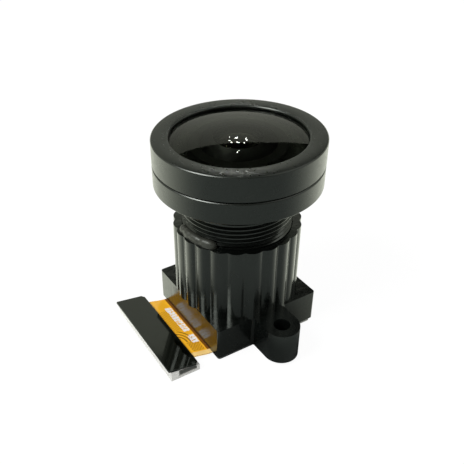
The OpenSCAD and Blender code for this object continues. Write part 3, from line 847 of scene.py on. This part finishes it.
def makeHolder():
    half = holder["baseWidth"] / 2
    top = holder["baseHeight"]
    beyond = holder["beyond"]
    piece = newCube("lensHolder", (-half, -half, 0), (half, half, top))
    ear = holder["earWidth"] / 2
    startEdit(piece)
    for side in (-1, 1):
        for cut in (-ear, ear):
            bpy.ops.mesh.select_all(action="SELECT")
            bpy.ops.mesh.bisect(plane_co=(cut, 0, 0), plane_no=(1, 0, 0))
        pick("FACE", lambda f: near(f.normal.y, side) and abs(f.calc_center_median().x) < 0.1)
        reach = holder["earY"] + ear - half
        bpy.ops.mesh.extrude_region_move(TRANSFORM_OT_translate={"value": (0, side * reach, 0)})
    pick("EDGE", lambda e: isUpright(e) and near(abs(middle(e).y), holder["earY"] + ear))
    bpy.ops.mesh.bevel(offset=ear - hair, segments=holder["earSteps"], affect="EDGES")
    pick("EDGE", lambda e: isUpright(e) and near(abs(middle(e).x), ear) and near(abs(middle(e).y), half))
    bpy.ops.mesh.bevel(offset=holder["earFillet"], segments=holder["filletSteps"], affect="EDGES")
    pick("EDGE", lambda e: isUpright(e) and near(abs(middle(e).x), half) and near(abs(middle(e).y), half))
    bpy.ops.mesh.bevel(offset=holder["cornerRadius"], segments=holder["cornerSteps"], affect="EDGES")
    endEdit()

    # fluted barrel: a disc pushed out to the flutes, then drawn up
    ringRadius = holderHigh.x - holder["fluteRadius"]
    clearSelection()
    bpy.ops.mesh.primitive_circle_add(vertices=holder["flutes"] * holder["stepsPerFlute"], radius=1,
                                      fill_type="NGON", location=(0, 0, 0))
    fluted = bpy.context.object
    for point in fluted.data.vertices:
        angle = math.atan2(point.co.y, point.co.x)
        radius = fluteRadiusAt(angle, ringRadius)
        point.co = (radius * math.cos(angle), radius * math.sin(angle), top)
    startEdit(fluted)
    bpy.ops.mesh.select_all(action="SELECT")
    rise = holderHigh.z - top
    bpy.ops.mesh.extrude_region_move(TRANSFORM_OT_translate={"value": (0, 0, rise)})
    bpy.ops.mesh.select_all(action="SELECT")
    bpy.ops.mesh.normals_make_consistent(inside=False)
    endEdit()
    combine(piece, fluted, "UNION")

    for side in (-1, 1):
        place = (side * holder["pegAt"], side * holder["pegAt"])
        peg = newCylinder("peg", holder["pegSides"], holder["pegRadius"], holderLow.z, beyond, place)
        combine(piece, peg, "UNION")
        hole = newCylinder("hole", holder["earHoleSides"], holder["earHole"] / 2, -1, top + 1,
                           (0, side * holder["earY"]))
        combine(piece, hole, "DIFFERENCE")
    bore = newCylinder("bore", holder["boreSides"], holder["boreRadius"], holder["floorTop"],
                       holderHigh.z + 1)
    combine(piece, bore, "DIFFERENCE")
    for width, low, high in (
        (holder["cavityWidth"], -1, holder["cavityHeight"]),
        (holder["windowWidth"], beyond, holder["floorTop"] + beyond),
        (holder["pocketWidth"], holder["floorTop"] - holder["pocketDepth"], holder["floorTop"] + beyond),
    ):
        pocket = newCube("pocket", (-width / 2, -width / 2, low), (width / 2, width / 2, high))
        combine(piece, pocket, "DIFFERENCE")
    softenEdges(piece, holder["edgeRound"], 2, 40)
    settle(piece, 40)
    dress(piece, holderPlastic, "holder_plastic", "lens_holder")


makeHolder()
print("lens holder made")


barrel = {
    "threadRadius": 6.0,
    "pitch": 0.5,
    "threadDepth": 0.27,
    "crestFlat": 0.06,
    "rootFlat": 0.06,
    "threadTop": 15.35,
    "threadDrop": 0.02,               # keeps the last turn clear of the neck's shoulder
    "threadSunk": 0.03,
    "stepsPerTurn": 72,
    "neckRadius": 5.6,
    "headLow": 17.45,
    "headHigh": 19.80,
    "headBevel": 0.12,
    "spigotRadius": 8.23,
    "spigotTop": 21.55,
    "pocketRadius": 7.58,
    "seatZ": 20.20,
    "grooveOuter": 7.03,
    "grooveInner": 6.49,
    "grooveDepth": 0.5,
    "upperBore": 4.8,
    "webTop": 16.1,
    "webLow": 15.6,
    "webHole": 3.58,
    "lowerBore": 4.5,
    "edgeRound": 0.04,
}


def makeBarrel():
    b = barrel
    back = barrelLow.z
    headRadius = barrelHigh.x
    root = b["threadRadius"] - b["threadDepth"]
    piece = lathe("lensBarrel", [
        (b["lowerBore"], back), (root, back), (root, b["threadTop"]),
        (b["neckRadius"], b["threadTop"]), (b["neckRadius"], b["headLow"]),
        (headRadius - b["headBevel"], b["headLow"]), (headRadius, b["headLow"] + b["headBevel"]),
        (headRadius, b["headHigh"] - b["headBevel"]), (headRadius - b["headBevel"], b["headHigh"]),
        (b["spigotRadius"], b["headHigh"]), (b["spigotRadius"], b["spigotTop"]),
        (b["pocketRadius"], b["spigotTop"]), (b["pocketRadius"], b["seatZ"]),
        (b["grooveOuter"], b["seatZ"]), (b["grooveOuter"], b["seatZ"] - b["grooveDepth"]),
        (b["grooveInner"], b["seatZ"] - b["grooveDepth"]), (b["grooveInner"], b["seatZ"]),
        (b["upperBore"], b["seatZ"]), (b["upperBore"], b["webTop"]),
        (b["webHole"], b["webTop"]), (b["webHole"], b["webLow"]), (b["lowerBore"], b["webLow"]),
    ])
    softenEdges(piece, b["edgeRound"])

    # the thread is one ridge, wound up the barrel
    inside = root - b["threadSunk"]
    halfRidge = (b["pitch"] - b["rootFlat"]) / 2
    halfCrest = b["crestFlat"] / 2
    turns = int((b["threadTop"] - back) / b["pitch"]) - 1
    start = b["threadTop"] - turns * b["pitch"] - halfRidge - b["threadDrop"]
    ridge = drawProfile("ridge", [
        (inside, start - halfRidge), (root, start - halfRidge), (b["threadRadius"], start - halfCrest),
        (b["threadRadius"], start + halfCrest), (root, start + halfRidge), (inside, start + halfRidge),
    ])
    endEdit()
    winding = ridge.modifiers.new("winding", "SCREW")
    winding.axis = "Z"
    winding.screw_offset = b["pitch"]
    winding.iterations = turns
    winding.steps = winding.render_steps = b["stepsPerTurn"]
    winding.use_merge_vertices = False
    bpy.ops.object.modifier_apply(modifier=winding.name)
    startEdit(ridge)
    for level in (start, start + turns * b["pitch"]):
        pick("VERT", lambda v: near(v.co.y, 0, hair) and v.co.x > 0 and near(v.co.z, level, halfRidge + 0.01)
             and any(e.is_boundary for e in v.link_edges))
        bpy.ops.mesh.edge_face_add()
    bpy.ops.mesh.select_all(action="SELECT")
    bpy.ops.mesh.normals_make_consistent(inside=False)
    endEdit()
    combine(piece, ridge, "UNION")
    settle(piece, 30)
    dress(piece, anodised, "black_anodised", "lens_barrel")
    piece.data.materials.append(threadBlack)
    headStart = (b["headLow"] - 0.02) / metre         # the neck and the thread are glossier than the head
    for face in piece.data.polygons:
        if face.center.z < headStart:
            face.material_index = 1


makeBarrel()
print("lens barrel made")


frontRing = {
    "innerRadius": 8.25,
    "bevel": 0.12,
    "holeRadius": 7.06,
    "lipUnder": 22.15,
    "lipInner": 22.26,
    "glassRadius": 7.56,
    "edgeRound": 0.04,
}


def makeRing():
    r = frontRing
    outer = ringHigh.x
    low, high = ringLow.z, ringHigh.z
    piece = lathe("frontRing", [
        (r["innerRadius"], low), (outer - r["bevel"], low), (outer, low + r["bevel"]),
        (outer, high - r["bevel"]), (outer - r["bevel"], high), (r["holeRadius"] + r["bevel"], high),
        (r["holeRadius"], high - r["bevel"]), (r["holeRadius"], r["lipInner"]),
        (r["glassRadius"], r["lipUnder"]), (r["innerRadius"], r["lipUnder"]),
    ])
    softenEdges(piece, r["edgeRound"])
    settle(piece, 30)
    dress(piece, anodised, "black_anodised", "front_ring")


makeRing()
print("front ring made")


frontGlass = {
    "edgeHeight": 1.93,
    "dome": 0.84,
    "hollowRadius": 3.8,
    "hollowDepth": 1.75,
    "inkRadius": 2.4,
    "edgeSlope": 0.05,                # faces steeper than this are the glass's edge
}


def makeFrontGlass():
    g = frontGlass
    low = glassLow.z
    edge = low + g["edgeHeight"]
    outside = arc(glassHigh.x, edge, g["dome"])
    hollow = arc(g["hollowRadius"], low, g["hollowDepth"])
    points = list(reversed(hollow)) + [(glassHigh.x, low)] + outside
    piece = lathe("frontGlass", points, closed=False)
    settle(piece, 25)
    dress(piece, frontCoating, "lens_glass", "front_element")
    piece.data.materials.append(glassInk)
    inkLimit = g["inkRadius"] / metre                 # black paint around the clear middle and on the edge
    for face in piece.data.polygons:
        behind = face.normal.z < 0 and math.hypot(face.center.x, face.center.y) > inkLimit
        if behind or abs(face.normal.z) < g["edgeSlope"]:
            face.material_index = 1


makeFrontGlass()
print("front glass made")


bead = {
    "start": 168,
    "arc": 49,
    "innerRadius": 6.0,
    "width": 0.72,
    "height": 0.85,
    "roundEnd": 7.0,
    "endFullness": 0.12,
    "ripple": 0.05,
    "rippleRate": 31,
    "fineRipple": 0.03,
    "fineRate": 17,
    "section": [(0, 0), (1, 0), (1, 0.35), (0.93, 0.62), (0.76, 0.83), (0.52, 0.95), (0.26, 0.99), (0, 0.9)],
    "steps": 60,
    "edgeRound": 0.05,
}


def makeBead():
    b = bead
    low = holderHigh.z
    piece = drawProfile("adhesiveBead", [
        (b["innerRadius"] + across * b["width"], low + up * b["height"]) for across, up in b["section"]])
    bpy.ops.mesh.select_all(action="SELECT")
    bpy.ops.mesh.spin(steps=b["steps"], angle=-math.radians(b["arc"]), center=(0, 0, 0), axis=(0, 0, 1))
    for side in (0, 1):
        away = math.radians(b["arc"]) * side
        pick("VERT", lambda v: abs(math.atan2(v.co.y, v.co.x) - away) < 0.002)
        bpy.ops.mesh.edge_face_add()
    bpy.ops.mesh.select_all(action="SELECT")
    bpy.ops.mesh.normals_make_consistent(inside=False)
    endEdit()
    middleAngle = math.radians(b["arc"]) / 2
    for point in piece.data.vertices:
        angle = math.atan2(point.co.y, point.co.x)
        radius = math.hypot(point.co.x, point.co.y)
        fromEnd = math.degrees(middleAngle - abs(angle - middleAngle)) / b["roundEnd"]
        swell = math.sqrt(max(0.0, 1 - (1 - min(1, fromEnd)) ** 2))
        swell = swell * (1 - b["endFullness"]) + b["endFullness"]
        ripple = 1 + b["ripple"] * math.sin(angle * b["rippleRate"])
        ripple += b["fineRipple"] * math.sin(angle * b["fineRate"] + 1)
        share = min(1, swell * ripple)
        radius = b["innerRadius"] + (radius - b["innerRadius"]) * share
        height = (point.co.z - low) * share
        turned = angle + math.radians(b["start"])
        point.co = (radius * math.cos(turned), radius * math.sin(turned), low + height)
    softenEdges(piece, b["edgeRound"], 2, 50)
    settle(piece, 50)
    dress(piece, resin, "clear_adhesive", "adhesive_bead")


makeBead()
print("adhesive bead made")


plate = {
    "lean": 9,
    "middleX": -10.8,
    "middleZ": 0.74,
    "width": 3.7,
    "length": 13.3,
    "thickness": 0.2,
    "cut": 0.35,
    "farRound": 0.12,
    "edgeRound": 0.03,
}

flex = {
    "thickness": 0.14,
    "boardWidth": 12.6,
    "cornerRadius": 0.3,
    "boardTop": -0.06,
    "bendStart": -6.5,
    "bendSteps": 20,
    "tailWidth": 10.75,
    "pegHole": 0.42,
}

stiffener = {
    "thickness": 0.3,
    "edgeRound": 0.03,
}

tailMiddle = (plateLow.y + plateHigh.y) / 2
leanSlope = math.tan(math.radians(plate["lean"]))


def tailTop(x):
    # height of the flex circuit's upper face at x: flat, a bend, then leaning with the plate
    bendEnd = housingHigh.x
    if x >= flex["bendStart"]:
        return flex["boardTop"]
    leaning = plate["middleZ"] + leanSlope * (plate["middleX"] - x)
    if x <= bendEnd:
        return leaning
    length = flex["bendStart"] - bendEnd
    share = (flex["bendStart"] - x) / length
    rise = plate["middleZ"] + leanSlope * (plate["middleX"] - bendEnd) - flex["boardTop"]
    lifted = rise * share ** 2 * (3 - 2 * share)
    return flex["boardTop"] + lifted - leanSlope * length * share ** 2 * (1 - share)


def pegHoles(piece, low, high):
    for side in (-1, 1):
        place = (side * holder["pegAt"], side * holder["pegAt"])
        hole = newCylinder("hole", holder["pegSides"], flex["pegHole"], low, high, place)
        combine(piece, hole, "DIFFERENCE")


def makeFlex():
    half = flex["boardWidth"] / 2
    clearSelection()
    bpy.ops.mesh.primitive_plane_add(size=flex["boardWidth"], location=(0, 0, tailTop(0)))
    piece = bpy.context.object
    piece.name = "flexCircuit"
    bpy.ops.object.transform_apply(location=True, rotation=True, scale=True)
    startEdit(piece)
    for cut in (tailMiddle - flex["tailWidth"] / 2, tailMiddle + flex["tailWidth"] / 2):
        bpy.ops.mesh.select_all(action="SELECT")
        bpy.ops.mesh.bisect(plane_co=(0, cut, 0), plane_no=(0, 1, 0))
    pick("VERT", lambda v: near(abs(v.co.x), half) and near(abs(v.co.y), half))
    bpy.ops.mesh.bevel(offset=flex["cornerRadius"], segments=holder["cornerSteps"], affect="VERTICES")
    pick("EDGE", lambda e: near(middle(e).x, -half) and near(middle(e).y, tailMiddle))
    bend = flex["bendStart"] - housingHigh.x
    stations = [flex["bendStart"] - bend * i / flex["bendSteps"] for i in range(flex["bendSteps"] + 1)]
    stations.append(flexLow.x)
    here = -half
    for station in stations:
        step = (station - here, 0, tailTop(station) - tailTop(here))
        bpy.ops.mesh.extrude_edges_move(TRANSFORM_OT_translate={"value": step})
        here = station
    bpy.ops.mesh.select_all(action="SELECT")
    bpy.ops.mesh.normals_make_consistent(inside=False)
    endEdit()
    if sum(face.normal.z for face in piece.data.polygons) < 0:
        piece.data.flip_normals()
    activate(piece)
    wall = piece.modifiers.new("wall", "SOLIDIFY")
    wall.thickness = flex["thickness"]
    wall.offset = -1
    bpy.ops.object.modifier_apply(modifier=wall.name)
    pegHoles(piece, -1, holder["beyond"])
    settle(piece, 30)
    dress(piece, polyimide, "polyimide", "flex_circuit")


def makeStiffener():
    half = flex["boardWidth"] / 2
    piece = newCube("baseStiffener", (-half, -half, restZ), (half, half, restZ + stiffener["thickness"]))
    startEdit(piece)
    pick("EDGE", isUpright)
    bpy.ops.mesh.bevel(offset=flex["cornerRadius"], segments=holder["cornerSteps"], affect="EDGES")
    endEdit()
    pegHoles(piece, restZ - 1, restZ + 1)
    softenEdges(piece, stiffener["edgeRound"])
    settle(piece, 30)
    dress(piece, brushedSteel, "stiffener_steel", "base_stiffener")


makeFlex()
makeStiffener()
print("flex circuit and stiffener made")


housing = {
    "wall": 0.75,
    "trenchDepth": 0.6,
    "roof": 0.3,
    "tongue": 0.6,
    "tabWidth": 2.2,
    "tabRecess": 0.25,
    "tabShift": 0.3,
    "edgeRound": 0.04,
}


def makePlate():
    half = Vector((plate["width"] / 2, plate["length"] / 2, 0))
    piece = newCube("connectorPlate", -half, half + Vector((0, 0, plate["thickness"])))
    startEdit(piece)
    pick("EDGE", lambda e: isUpright(e) and middle(e).x > 0)
    bpy.ops.mesh.bevel(offset=plate["cut"], segments=1, affect="EDGES")
    pick("EDGE", lambda e: isUpright(e) and near(middle(e).x, -half.x))
    bpy.ops.mesh.bevel(offset=plate["farRound"], segments=4, affect="EDGES")
    endEdit()
    softenEdges(piece, plate["edgeRound"], 3, 30)
    lean = Matrix.Rotation(math.radians(plate["lean"]), 4, "Y")
    piece.data.transform(Matrix.Translation((plate["middleX"], tailMiddle, plate["middleZ"])) @ lean)
    settle(piece, 30)
    dress(piece, plateFinish, "plate_black", "connector_plate")


def makeHousing():
    c = housing
    low, high = housingLow, housingHigh
    centre = (low + high) / 2
    piece = newCube("connectorHousing", low, high)
    trench = newCube("trench", (low.x + c["wall"], low.y + c["wall"], low.z - 1),
                     (high.x - c["wall"], high.y - c["wall"], low.z + c["trenchDepth"]))
    tongueHalf = (high.y - low.y) / 2 - c["wall"] - c["tongue"]
    tongue = newCube("tongue", (centre.x - c["tongue"] / 2, centre.y - tongueHalf, low.z),
                     (centre.x + c["tongue"] / 2, centre.y + tongueHalf, high.z))
    combine(trench, tongue, "DIFFERENCE")
    combine(piece, trench, "DIFFERENCE")
    for end in (low.y, high.y):
        recess = newCube("recess", (centre.x + c["tabShift"] - c["tabWidth"] / 2, end - c["tabRecess"],
                                    low.z + c["roof"]),
                         (centre.x + c["tabShift"] + c["tabWidth"] / 2, end + c["tabRecess"], high.z + 1))
        combine(piece, recess, "DIFFERENCE")
    for point in piece.data.vertices:                 # the roof leans with the plate
        if point.co.z > high.z - hair:
            point.co.z = tailTop(point.co.x) - flex["thickness"] / math.cos(math.radians(plate["lean"]))
    softenEdges(piece, c["edgeRound"], 2, 40)
    settle(piece, 30)
    dress(piece, palePlastic, "connector_plastic", "connector_housing")


makePlate()
makeHousing()
print("connector made")

carried = {
    "inner_ring": innerBlack, "upper_spacer": innerBlack, "aperture_stop": innerBlack,
    "stop_spacer": innerBlack, "lower_spacer": innerBlack, "rear_ring": innerBlack,
    "front_seal": sealRubber, "second_element": innerGlass, "third_element": innerGlass,
    "fourth_element": innerGlass, "fifth_element": innerGlass, "rear_element": innerGlass,
    "infrared_filter": filterGlass, "filter_adhesive": resin, "holder_adhesive": resin,
    "sensor_cover": filterGlass, "sensor_dam": innerBlack, "sensor_die": silicon,
    "sensor_balls": solder, "chip_capacitors": capacitorCeramic, "chip_resistors": resistorCeramic,
    "voltage_regulator": chipPlastic, "connector_contacts": gold, "connector_tabs": darkSteel,
}
for nodeName, finish in carried.items():
    cadNodes[nodeName].data.materials.clear()
    cadNodes[nodeName].data.materials.append(finish)
print("carried nodes finished")
